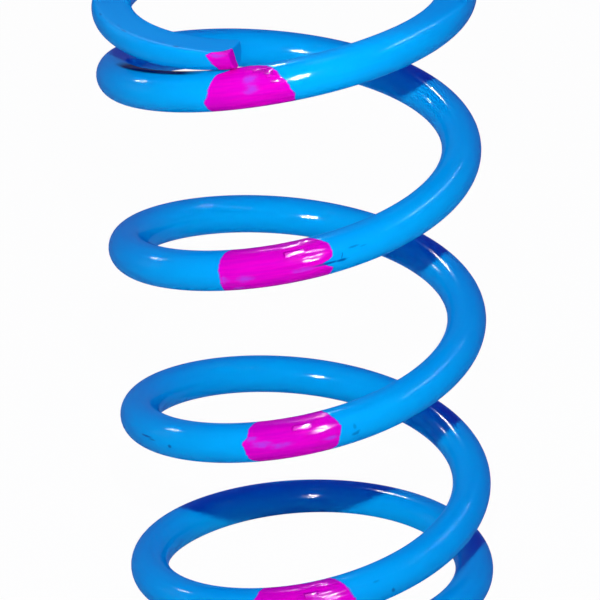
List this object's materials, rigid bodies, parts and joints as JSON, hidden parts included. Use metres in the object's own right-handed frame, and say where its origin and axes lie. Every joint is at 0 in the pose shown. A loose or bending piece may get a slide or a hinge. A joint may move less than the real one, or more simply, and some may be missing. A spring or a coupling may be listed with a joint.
{
  "type": "drive clutch spring",
  "caption": "Steel compression spring for a drive clutch: round wire wound right-handed, with open coils, closed and ground ends, blue paint and a magenta colour mark down one side.",
  "frame": {"origin": "on the coil's axis, in the ground face of the lower end coil", "axes": "+Z along the coil's axis from the lower end to the upper end, with the upper tip towards -Y"},
  "size_m": [0.06, 0.06, 0.1037],
  "materials": {
    "blue_paint": "gloss"
  },
  "bodies": {
    "root": {"coil_spring": "blue_paint"}
  },
  "joints": []
}
